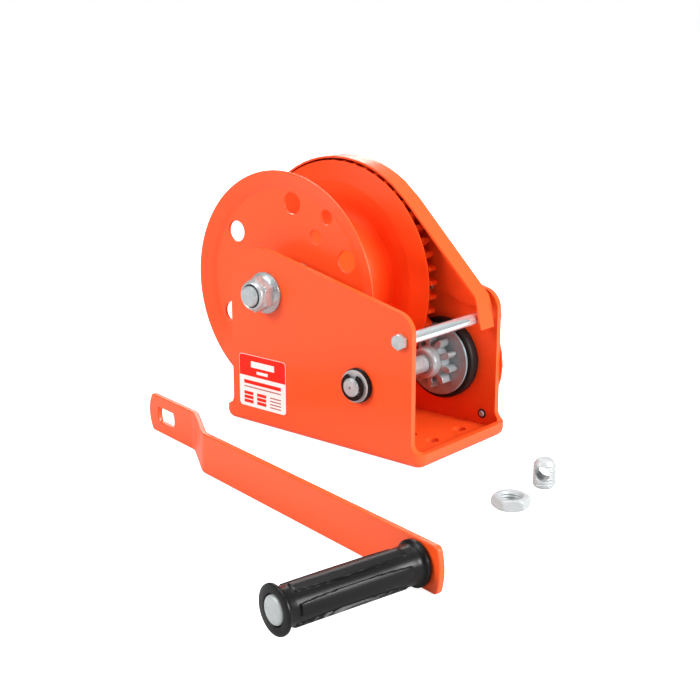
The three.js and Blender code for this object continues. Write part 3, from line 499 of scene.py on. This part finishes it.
near = turned("near_flange", flangeProfile("drum_flange_near", -1), drumAxis, orangePaint, "drum",
              ["drum_flange_near"], 160, 0.8, 40)
holes = [(*drumSpot(drumLook["holeRing"], drumLook["holeStart"] + 60 * k), drumLook["holeR"]) for k in range(6)]
holes += [(*drumSpot(ring, drumLook["clampAngle"]), drumLook["clampR"]) for ring in drumLook["clampRings"]]
low, high = spanOf("drum_flange_near")
lip, web = drumLook["lip"], high.y - drumLook["sheet"]
for x, z, r in holes:
    # each hole has a softened lip on both faces of the web
    profile = [(0, low.y - 4), (r + lip, low.y - 4), (r + lip, web), (r + lip * 0.3, web + lip * 0.3), (r, web + lip),
               (r, high.y - lip), (r + lip, high.y), (r + lip, high.y + 4), (0, high.y + 4)]
    cut(near, cutter(*turnedMesh(profile, Vector((x, 0, z)), 40)))
steadyShading(near)
# far flange in the darker drum paint: painted shade
turned("far_flange", flangeProfile("drum_flange_far", 1), drumAxis, shadedDrumPaint, "drum",
       ["drum_flange_far"], 160, 0.8, 40)

hubLow, hubHigh = spanOf("drum_hub")
h0, h1, hubR = hubLow.y, hubHigh.y, drumLook["hub"]
flareR, flareLong = drumLook["flare"]
angles = [math.radians(6 * k) for k in range(16)]
fillet = [(hubR + flareR * (1 - math.cos(a)), h1 - flareLong - 0.2 + flareLong * math.sin(a)) for a in angles]
# hub in the darker drum paint: painted shade
turned("hub", [(hubR - 3, h0), (hubR, h0), *fillet, (hubR + flareR, h1), (hubR - 3, h1), (hubR - 3, h0)],
       drumAxis, shadedDrumPaint, "drum", ["drum_hub"], 128, 0.2, 50)
for k in range(1, 5):
    refined(f"drum_stay_{k}", zincPlate, 0.3)
refined("drum_bush_near", nylon, 0.3)
refined("drum_bush_far", nylon, 0.3)
print("drum done")

# gears
gearLook = {"module": 3.5, "pinion": 10, "play": 0.5, "line": -31.0, "undercut": 0.3, "faceWidth": 10.4, "bore": 7.3}


def toothLine(teeth, tip, root, phase, undercut, x, z):
    # involute teeth with a pressure angle of 20 degrees, narrowed below the base circle
    pitchR = gearLook["module"] * teeth / 2
    baseR = pitchR * math.cos(math.radians(20))
    inv = lambda a: math.tan(a) - a
    half = math.pi / (2 * teeth) - gearLook["play"] / (4 * pitchR)

    def halfAt(r):
        plain = half + inv(math.radians(20)) - inv(math.acos(baseR / max(r, baseR)))
        return plain * (1 - undercut * (baseR - r) / (baseR - root)) if r < baseR else plain

    radii = [root, (root + baseR) / 2] + [baseR + (tip - baseR) * k / 5 for k in range(6)]
    points = []
    for k in range(teeth):
        mid = phase + 2 * math.pi * k / teeth
        points += [(r, mid - halfAt(r)) for r in radii] + [(r, mid + halfAt(r)) for r in reversed(radii)]
    return [(x + r * math.cos(a), z + r * math.sin(a)) for r, a in points]


# drum gear in the darker drum paint: painted shade
refined("drum_gear", shadedDrumPaint, 0.35, 2)

low, high = spanOf("pinion")
pitchPinion = gearLook["module"] * gearLook["pinion"] / 2
tipPinion, rootPinion = pitchPinion + gearLook["module"] - 0.2, pitchPinion - 1.25 * gearLook["module"]
phase = math.radians(gearLook["line"] + 180 + 180 / gearLook["pinion"])
teeth = toothLine(gearLook["pinion"], tipPinion, rootPinion, phase, gearLook["undercut"], shaftAxis.x, shaftAxis.z)
teethNear, bore = high.y - gearLook["faceWidth"], gearLook["bore"]
plate("pinion_teeth", teeth, [circleLine(shaftAxis.x, shaftAxis.z, bore, 48)], teethNear, high.y,
      toothSteel, "input", ["pinion"], 0.5)
foot, top = low.y, teethNear + 0.6
turned("pinion_collar", [(bore, foot), (10.4, foot), (12.2, foot + 1.9), (12.2, top), (bore, top), (bore, foot)],
       shaftAxis, toothSteel, "input", segments=64, fillet=0.3)
low, high = spanOf("pinion_disc")
discR = (high.x - low.x) / 2
foot, top = low.y, high.y
turned("disc", [(bore, foot), (discR - 0.5, foot), (discR, foot + 0.4), (discR, top), (bore, top), (bore, foot)],
       shaftAxis, discSteel, "input", ["pinion_disc"], 96, 0.2)
low, high = spanOf("brake_seal")
sealR = (high.x - low.x) / 2
foot, top = low.y, high.y
turned("seal_ring", [(16.4, top - 3), (24, top - 3), (26, foot), (sealR - 1.2, foot), (sealR, foot + 1.6), (sealR, top),
                     (16.4, top), (16.4, top - 3)], shaftAxis, blackRing, "frame", ["brake_seal"], 96, 0.5)
print("gears done")

# axle, shaft and small hardware



def hexNut(name, axis, flats, foot, top, body, stands, material):
    # six flats whose corners are turned off, built ring by ring
    corner = flats / math.sqrt(3)
    verts, faces, rows = [], [], []
    count = 120
    levels = [0.0, 0.35, 0.7, 0.82, 0.9, 0.96, 1.0]
    for t in levels:
        row = []
        for k in range(count):
            a = 2 * math.pi * k / count
            sector = (a + math.pi / 6) % (math.pi / 3) - math.pi / 6
            hexR = (flats / 2) / math.cos(sector)
            cone = corner + 0.2 - max(0.0, (t - 0.8) / 0.2) * (corner + 0.2 - (flats / 2 - 0.5))
            r = min(hexR, cone)
            row.append(len(verts))
            spin = a + math.pi / 6
            verts.append((axis.x + r * math.sin(spin), foot + (top - foot) * t, axis.z + r * math.cos(spin)))
        rows.append(row)
    for a, b in zip(rows, rows[1:]):
        joinRings(faces, a, b)
    faces.append(tuple(rows[0]))
    faces.append(tuple(rows[-1]))
    return newPiece(name, verts, faces, material, body, stands, 24)


y = spanOf("axle_nut")[1].y
turned("nut_flange", [(8.3, y), (16.2, y), (16.2, y - 1.6), (15.6, y - 2.3), (12.9, y - 4.4), (8.3, y - 4.4), (8.3, y)],
       drumAxis, zincPlate, "frame", segments=96, fillet=0.5)
hexNut("nut_hex", drumAxis, 24.0, y - 2.6, y - 13.6, "frame", ["axle_nut"], zincPlate)
turned("nut_crown", [(8.4, y - 13), (11.4, y - 13), (11.3, y - 15.0), (10.6, y - 16.2), (9.6, y - 16.6), (8.9, y - 16.1),
                     (8.5, y - 14.6), (8.4, y - 13)], drumAxis, zincPlate, "frame", segments=96, fillet=0.35)
refined("nut_insert", blackRing, 0.2)
y = spanOf("drum_axle")[0].y
turned("axle_end", [(0, y), (5.2, y + 0.25), (7.0, y + 1.0), (7.8, y + 2.2), (7.8, y + 9), (0, y + 9)],
       drumAxis, satinSteel, "frame", segments=64, fillet=0.4)
refined("drum_axle", zincPlate, 0.4)
refined("axle_sleeve", discSteel, 0.2)

refined("input_shaft", zincPlate, 0.3, 2, smooth=30)
y = spanOf("input_shaft")[0].y
turned("shaft_end", [(0, y - 0.05), (5.7, y - 0.05), (5.7, y + 0.2), (0, y + 0.2)], shaftAxis, satinSteel, "input",
       segments=48, fillet=0.05)
turned("centre_mark", [(0, y - 0.09), (1.1, y - 0.09), (1.3, y + 0.1), (0, y + 0.1)], shaftAxis, springSteel, "input",
       segments=24, fillet=0.02)
low, high = spanOf("shaft_bush_near")
y, bushR, grooveR = low.y, (high.x - low.x) / 2, (high.x - low.x) / 2 - 0.5
head = [(bushR - 0.7, y), (bushR, y + 0.7), (bushR, y + 1.5), (grooveR, y + 1.7), (grooveR, y + 2.1), (bushR, y + 2.3)]
turned("bush_near", [(bore, y), *head, (bushR, y + 3.3), (10.6, y + 3.3), (10.6, high.y), (bore, high.y), (bore, y)],
       shaftAxis, blackPlastic, "frame", ["shaft_bush_near"], 72, 0.25)
low, high = spanOf("shaft_washer")
turned("washer", band(bore, 12.2, low.y, high.y), shaftAxis, satinSteel, "input", ["shaft_washer"], 72, 0.4)
refined("retaining_clip", blackPlastic, 0.15)
refined("shaft_bush_far", discSteel, 0.3)
refined("drive_hub", zincPlate, 0.4)

low, high = spanOf("tie_bar")
turned("tube", band(3.3, 4.4, low.y, high.y), tieAxis, brightTube, "frame", ["tie_bar"], 64, 0.3)
for label in ("near", "far"):
    refined(f"tie_bolt_{label}", zincPlate, 0.35, 3, smooth=30)
brakeLook = {"softEdge": 0.2}
for look, members in ((springSteel, ("ratchet_wheel", "pawl")), (zincPlate, ("pawl_pin", "pawl_spacer"))):
    for node in members:
        refined(node, look, brakeLook["softEdge"])
refined("pawl_spring", springSteel, 0)
for node in ("friction_disc_inner", "friction_disc_outer"):
    refined(node, frictionLining, brakeLook["softEdge"])
print("hardware done")

# sticker
labelLow, labelHigh = spanOf("label")
stickerLook = {"corner": 3.0, "bandFoot": 25.0, "proud": 0.06}


def cornerLine(x0, x1, z0, z1, r, corners=(1, 1, 1, 1)):
    # rectangle whose corners are round where corners says so, from the lower right one round to the lower left one
    line = []
    places = ((x1 - r, z0 + r, -90), (x1 - r, z1 - r, 0), (x0 + r, z1 - r, 90), (x0 + r, z0 + r, 180))
    for (x, z, start), on in zip(places, corners):
        if on:
            angles = [math.radians(start + 15 * k) for k in range(7)]
            line += [(x + r * math.cos(a), z + r * math.sin(a)) for a in angles]
        else:
            line.append((x1 if start in (-90, 0) else x0, z0 if start in (-90, 180) else z1))
    return line


faceY = labelLow.y
plate("sticker", cornerLine(labelLow.x, labelHigh.x, labelLow.z, labelHigh.z, stickerLook["corner"]), [],
      faceY, labelHigh.y, whiteFilm, "frame", ["label"], 0.05)


def inked(name, x0, x1, z0, z1, material, level=1, r=0.4, corners=(1, 1, 1, 1)):
    # printed patch on the sticker, in millimetres from its lower left corner
    depth = stickerLook["proud"]
    line = cornerLine(labelLow.x + x0, labelLow.x + x1, labelLow.z + z0, labelLow.z + z1, r, corners)
    plate(name, line, [], faceY - depth * level, faceY - depth * (level - 1) + 0.01, material, "frame", bevel=0.01)


wide, tall = labelHigh.x - labelLow.x, labelHigh.z - labelLow.z
inked("sticker_band", 0.3, wide - 0.3, stickerLook["bandFoot"], tall - 0.3, redInk, 1, 2.8, (0, 1, 1, 0))
inked("sticker_bar_long", 13, 38, 32.5, 37.5, whiteFilm, 2)
inked("sticker_bar_short", 19, 31, 27.6, 30, whiteFilm, 2)
inked("sticker_line", 5, 45, 18.5, 21.5, redInk)
inked("sticker_rule", 5, 45, 15.6, 16.6, greyInk)
for row in range(3):
    for column in range(2):
        x = 5 + 14 * column
        inked(f"sticker_box_{row}{column}", x, x + 10, 9.6 - 3.4 * row, 12.2 - 3.4 * row, redInk)
for row in range(4):
    inked(f"sticker_note_{row}", 33, 45, 10.6 - 2.6 * row, 11.6 - 2.6 * row, greyInk)
print("sticker done")

# crank
crankLook = {"turn": -11.94, "hole": 18.5, "throw": 321.0, "joggle": 20.0, "bendStart": 56.0, "bendEnd": 109.0,
             "bendEase": 9.0, "thick": 4.4, "width": 29.6, "long": 358.0, "slotR": 12.3, "slotHalf": 5.9}
turn = math.radians(crankLook["turn"])
gripLow, gripHigh = spanOf("grip_washer")
gripAt = crankLook["hole"] + crankLook["throw"]
washer = (gripLow + gripHigh) / 2
washerY = -crankLook["joggle"] - 0.475
originX = washer.x - gripAt * math.cos(turn) + washerY * math.sin(turn)
originY = washer.y - gripAt * math.sin(turn) - washerY * math.cos(turn)


def laid(piece):
    # turns a piece that was drawn along the arm into its place on the ground
    piece.data.transform(Matrix.Translation((originX * mm, originY * mm, 0)) @ Matrix.Rotation(turn, 4, "Z"))
    return piece


def joggleAt(u):
    # how far the arm has stepped aside at u along it
    start, end, ease = crankLook["bendStart"], crankLook["bendEnd"], crankLook["bendEase"]
    slope = crankLook["joggle"] / (end - start - ease)
    if u <= start:
        return 0.0
    if u >= end:
        return -crankLook["joggle"]
    if u < start + ease:
        return -slope * (u - start) ** 2 / (2 * ease)
    if u > end - ease:
        return -crankLook["joggle"] + slope * (end - u) ** 2 / (2 * ease)
    return -slope * (u - start - ease / 2)


w, long = crankLook["width"], crankLook["long"]
crown = [1 - ((k - 8) / 8) ** 2 for k in range(17)]
endLine = [(-3.2 - 4.2 * c, 1.2 + (w - 2.4) * k / 16) for k, c in enumerate(crown)]
farLine = [(long - 1.4 + 2.2 * c, 1.6 + (w - 3.2) * k / 16) for k, c in enumerate(crown)]
outline = rounded([(-1.6, 0), (long - 3.4, 0), *farLine, (long - 3.4, w), (-1.6, w), *reversed(endLine)], 1.0, 2, True)
hole, slotR = crankLook["hole"], crankLook["slotR"]
slotAngle = math.asin(crankLook["slotHalf"] / slotR)
angles = [slotAngle * (2 * k / 10 - 1) for k in range(11)]
slot = [(hole + side * slotR * math.cos(a), w / 2 + side * slotR * math.sin(a)) for side in (1, -1) for a in angles]
slot = rounded(slot, 1.6, 3, True)
armMesh = plateMesh("arm", outline, [slot, circleLine(gripAt, w / 2, 5.1, 40)], 0, crankLook["thick"], 0.9, 3)
slices = bmesh.new()
slices.from_mesh(armMesh)
for k in range(61):
    u = crankLook["bendStart"] - 3 + k * (crankLook["bendEnd"] - crankLook["bendStart"] + 6) / 60
    everything = slices.verts[:] + slices.edges[:] + slices.faces[:]
    bmesh.ops.bisect_plane(slices, geom=everything, plane_co=(u * mm, 0, 0), plane_no=(1, 0, 0), dist=1e-7)
for v in slices.verts:
    v.co.y += joggleAt(v.co.x / mm) * mm
slices.to_mesh(armMesh)
slices.free()
armPiece = placed("arm", armMesh, orangePaint, "crank", ["crank_arm"], 50)
laid(armPiece)
steadyShading(armPiece)
refined("grip_washer", zincPlate, 0.25)

gripLook = {"long": 98.1, "flange": 14.6, "innerFlange": 14.2, "core": 11.2, "panel": 12.45, "panels": 5, "first": 6.6,
            "bore": 5.4, "head": 9.1}
outer = -crankLook["joggle"] - 1 - gripLook["long"]  # the grip's outer end, 1 mm clear of the arm at its inner end


def ease(low, high, value):
    t = min(1.0, max(0.0, (value - low) / (high - low)))
    return t * t * (3 - 2 * t)


def gripRadius(t, angle):
    # t in millimetres from the outer end
    core = gripLook["core"] + 0.7 * ease(76, 90, t) - 0.5 * math.sin(math.pi * min(1, max(0, (t - 8) / 84)))
    step = 360 / gripLook["panels"]
    offset = (math.degrees(angle) - gripLook["first"] + step / 2) % step - step / 2
    along = min(1.0, max(0.0, (t - 10) / 78))
    half = 17.5 + 6.5 * math.sin(math.pi * along)
    across = 1 - ease(half - 1.2, half + 0.9, abs(offset))
    lengthwise = ease(9.4, 10.4, t) * (1 - ease(84.5, 86, t))
    return core + (gripLook["panel"] - core) * across * lengthwise


verts, faces, rows = [], [], []
count = 240


def addRow(radiusOf, yPos):
    row = []
    for k in range(count):
        a = 2 * math.pi * k / count
        r = radiusOf(a)
        row.append(len(verts))
        verts.append((gripAt + r * math.cos(a), yPos, w / 2 + r * math.sin(a)))
    rows.append(row)


def plainRows(pairs):
    for t, r in pairs:
        addRow(lambda a: r, outer + t)


headR, flangeR, innerR = gripLook["head"], gripLook["flange"], gripLook["innerFlange"]
plainRows(((1.8, gripLook["bore"]), (1.8, headR), (0.4, headR), (0, headR + 0.4)))
plainRows(((0, flangeR - 0.5), (0.3, flangeR - 0.1), (0.7, flangeR), (1.5, flangeR)))
plainRows(((1.9, flangeR - 0.2), (2.1, flangeR - 0.6)))
plainRows(((2.3, 12.6), (2.9, 11.9), (4.2, 11.6), (7.2, 11.3)))
t = 8.4
while t < 91.5:
    addRow(lambda a, t=t: gripRadius(t, a), outer + t)
    t += 0.4 if t < 12 or t > 85 else 2.2
plainRows(((92.6, 12.0), (94.2, 12.2), (94.8, 12.8), (95.0, 13.8), (95.4, innerR), (97.7, innerR), (98.1, 13.8)))
plainRows(((gripLook["long"], gripLook["bore"]),))
for a, b in zip(rows, rows[1:] + rows[:1]):
    joinRings(faces, a, b)
laid(newPiece("grip_sleeve", verts, faces, blackPlastic, "grip", ["grip"], 38))
gripCentre = Vector((gripAt, 0, w / 2))
head = [(0, -1.7), (4, -1.6), (7.0, -1.2), (8.2, -0.4), (8.4, 0.3), (8.4, 1.6), (0, 1.6)]
laid(turned("spindle_head", [(r, outer + h) for r, h in head], gripCentre, satinSteel, "crank",
            ["grip_spindle"], 72, 0.5))
face = -crankLook["joggle"] + crankLook["thick"]
rivet = [(4.95, face + 0.05), (7.6, face + 0.05), (6.9, face + 1.8), (4.2, face + 2.9), (0, face + 3.1)]
laid(turned("spindle_shank", [(0, outer + 1.7), (4.95, outer + 1.7), *rivet], gripCentre, zincPlate, "crank",
            (), 48, 0.4))
print("crank done")

# loose nut and rope anchor
looseLook = {"nutFlats": 23.2, "nutBore": 7.2, "thread": 0.75, "pitch": 2.0, "turn": 10.4, "anchorTurn": -74.0,
             "drillR": 5.3, "drillZ": 10.9}
low, high = spanOf("crank_nut")
nutAt = (low + high) / 2
nutTall = high.z
corner = looseLook["nutFlats"] / math.sqrt(3)
verts, faces, rows = [], [], []
count = 120
levels = [(0.0, 1.0), (0.4, 0.7), (0.9, 0.4), (1.7, 0.0), (3.8, 0.0), (5.9, 0.0), (6.7, 0.4), (7.2, 0.7), (7.6, 1.0)]
for h, chamfer in levels:
    row = []
    for k in range(count):
        a = 2 * math.pi * k / count
        sector = (a + math.pi / 6) % (math.pi / 3) - math.pi / 6
        hexR = looseLook["nutFlats"] / 2 / math.cos(sector)
        r = min(hexR, corner + 0.1 - chamfer * (corner + 0.1 - looseLook["nutFlats"] / 2 + 0.4))
        row.append(len(verts))
        a += math.radians(looseLook["turn"])
        verts.append((nutAt.x + r * math.cos(a), nutAt.y + r * math.sin(a), h / 7.6 * nutTall))
    rows.append(row)
boreHeights = [nutTall, nutTall - 1.0] + [nutTall - 1.0 - (nutTall - 2) * k / 24 for k in range(1, 25)] + [0.0]
for h in boreHeights:
    row = []
    for k in range(count):
        a = 2 * math.pi * k / count
        wave = abs(((h / looseLook["pitch"] - k / count) % 1) * 2 - 1)
        r = looseLook["nutBore"] + looseLook["thread"] * wave
        if h in (nutTall, 0.0):
            r = looseLook["nutBore"] + 1.5
        row.append(len(verts))
        a += math.radians(looseLook["turn"])
        verts.append((nutAt.x + r * math.cos(a), nutAt.y + r * math.sin(a), h))
    rows.append(row)
for a, b in zip(rows, rows[1:] + rows[:1]):
    joinRings(faces, a, b)
newPiece("loose_nut", verts, faces, satinSteel, "crank_nut", ["crank_nut"], 26)

low, high = spanOf("rope_anchor")
anchorAt = (low + high) / 2
tallA = high.z
verts, faces = threadedMesh(8.0, 0.85, 2.0, 1.4, tallA - 3.6, anchorAt.x, anchorAt.y, 96, 0.5)
count = 96
ringCount = len(verts) // count
lowRing, highRing = list(range(count)), list(range((ringCount - 1) * count, ringCount * count))


def capRings(start, levels):
    # closes one end of the barrel with shrinking rings
    previous = start
    for r, h in levels:
        if r < 1e-5:
            apex = len(verts)
            verts.append((anchorAt.x, anchorAt.y, h))
            for k in range(count):
                faces.append((previous[k], previous[(k + 1) % count], apex))
            return
        row = []
        for k in range(count):
            a = 2 * math.pi * k / count
            row.append(len(verts))
            verts.append((anchorAt.x + r * math.cos(a), anchorAt.y + r * math.sin(a), h))
        joinRings(faces, previous, row)
        previous = row


capRings(lowRing, [(6.9, 0.45), (6.2, 0.0), (0, 0.0)])
capRings(highRing, [(7.4, tallA - 3.2), (5.7, tallA - 0.5), (5.2, tallA - 0.1), (4.6, tallA), (0, tallA)])
anchor = newPiece("anchor_barrel", verts, faces, satinSteel, "rope_anchor", ["rope_anchor"], 30)
drillR = looseLook["drillR"]
a = math.radians(looseLook["anchorTurn"])
along, side = Vector((math.cos(a), math.sin(a), 0)), Vector((-math.sin(a), math.cos(a), 0))
drillVerts, drillFaces = [], []
profile = [(-14, drillR + 3), (-8, drillR + 1), (-6.6, drillR), (6.6, drillR), (8, drillR + 1), (14, drillR + 3)]
middle = Vector((anchorAt.x, anchorAt.y, looseLook["drillZ"]))
for reach, r in profile:
    for k in range(40):
        t = 2 * math.pi * k / 40
        drillVerts.append(tuple(middle + along * reach + side * r * math.cos(t) + Vector((0, 0, r * math.sin(t)))))
for j in range(len(profile) - 1):
    joinRings(drillFaces, list(range(j * 40, j * 40 + 40)), list(range(j * 40 + 40, j * 40 + 80)))
drillFaces.append(tuple(range(40)))
drillFaces.append(tuple(range((len(profile) - 1) * 40, len(profile) * 40)))
cut(anchor, cutter(drillVerts, drillFaces))
print("loose parts done")

# floor, light and camera
floorLook = {"size": 30.0, "seen": 0.93, "glow": 0.16, "albedo": 0.55}
floorMesh = bpy.data.meshes.new("floor")
half, below = floorLook["size"] / 2, -0.0003
corners = [(-half, -half, below), (half, -half, below), (half, half, below), (-half, half, below)]
floorMesh.from_pydata(corners, [], [(0, 1, 2, 3)])
floor = bpy.data.objects.new("floor", floorMesh)
bpy.context.scene.collection.objects.link(floor)
floorPaint = bpy.data.materials.new("studio floor")
floorPaint.use_nodes = True
tree = floorPaint.node_tree
shader = tree.nodes["Principled BSDF"]
shader.inputs["Base Color"].default_value = (floorLook["albedo"],) * 3 + (1,)
shader.inputs["Roughness"].default_value = 0.9
shader.inputs["Specular IOR Level"].default_value = 0.0
shader.inputs["Emission Color"].default_value = (1, 1, 1, 1)
ray = tree.nodes.new("ShaderNodeLightPath")
glow = groupNode(tree, "ShaderNodeMath", operation="MULTIPLY_ADD")
tree.links.new(ray.outputs["Is Camera Ray"], glow.inputs[0])
glow.inputs[1].default_value = floorLook["seen"] - floorLook["glow"]
glow.inputs[2].default_value = floorLook["glow"]
tree.links.new(glow.outputs[0], shader.inputs["Emission Strength"])
floorMesh.materials.append(floorPaint)

worldLook = {"low": 0.12, "middle": 0.24, "top": 0.85}
world = bpy.data.worlds.new("studio")
bpy.context.scene.world = world
world.use_nodes = True
tree = world.node_tree
back = tree.nodes["Background"]
where = tree.nodes.new("ShaderNodeTexCoord")
height = tree.nodes.new("ShaderNodeSeparateXYZ")
tree.links.new(where.outputs["Generated"], height.inputs[0])
ramp = tree.nodes.new("ShaderNodeValToRGB")
tree.links.new(height.outputs[2], ramp.inputs[0])
for stop, place, value in zip(ramp.color_ramp.elements, (0.0, 1.0), (worldLook["low"], worldLook["top"])):
    stop.position = place
    stop.color = (value, value, value, 1)
middle = ramp.color_ramp.elements.new(0.45)
middle.color = (worldLook["middle"],) * 3 + (1,)
ray = tree.nodes.new("ShaderNodeLightPath")
seen = groupNode(tree, "ShaderNodeMix", data_type="RGBA")
tree.links.new(ray.outputs["Is Camera Ray"], seen.inputs["Factor"])
tree.links.new(ramp.outputs[0], seen.inputs[6])
seen.inputs[7].default_value = (1, 1, 1, 1)
tree.links.new(seen.outputs[2], back.inputs["Color"])


def softLight(name, place, target, size, power):
    data = bpy.data.lights.new(name, "AREA")
    data.shape = "RECTANGLE"
    data.size, data.size_y = size
    data.energy = power
    lamp = bpy.data.objects.new(name, data)
    lamp.location = place
    lamp.rotation_euler = (Vector(target) - Vector(place)).to_track_quat("-Z", "Y").to_euler()
    bpy.context.scene.collection.objects.link(lamp)


softLight("key", (-0.7, -1.5, 1.0), (0, 0, 0.08), (0.7, 0.7), 27)
softLight("front", (1.7, 0.15, 0.75), (0.05, 0, 0.08), (0.6, 0.6), 46)
softLight("top", (0.1, 0.2, 1.6), (0, 0, 0.1), (0.9, 0.9), 10)
softLight("rear", (-1.2, 1.2, 1.0), (0, 0, 0.1), (0.8, 0.8), 14)

cameraLook = {"azimuth": 40.39, "elevation": 14.98, "place": (0.6203, -0.7450, 0.3209), "lens": 65.92}
lensData = bpy.data.cameras.new("camera")
lensData.lens = cameraLook["lens"]
lensData.sensor_width = 36
lensData.clip_end = 100
camera = bpy.data.objects.new("camera", lensData)
camera.location = cameraLook["place"]
camera.rotation_euler = (math.radians(90 - cameraLook["elevation"]), 0, math.radians(cameraLook["azimuth"]))
bpy.context.scene.collection.objects.link(camera)
bpy.context.scene.camera = camera
scene = bpy.context.scene
scene.view_settings.view_transform = "Standard"
scene.view_settings.look = "None"
scene.view_settings.exposure = 0.0

print("studio ready")
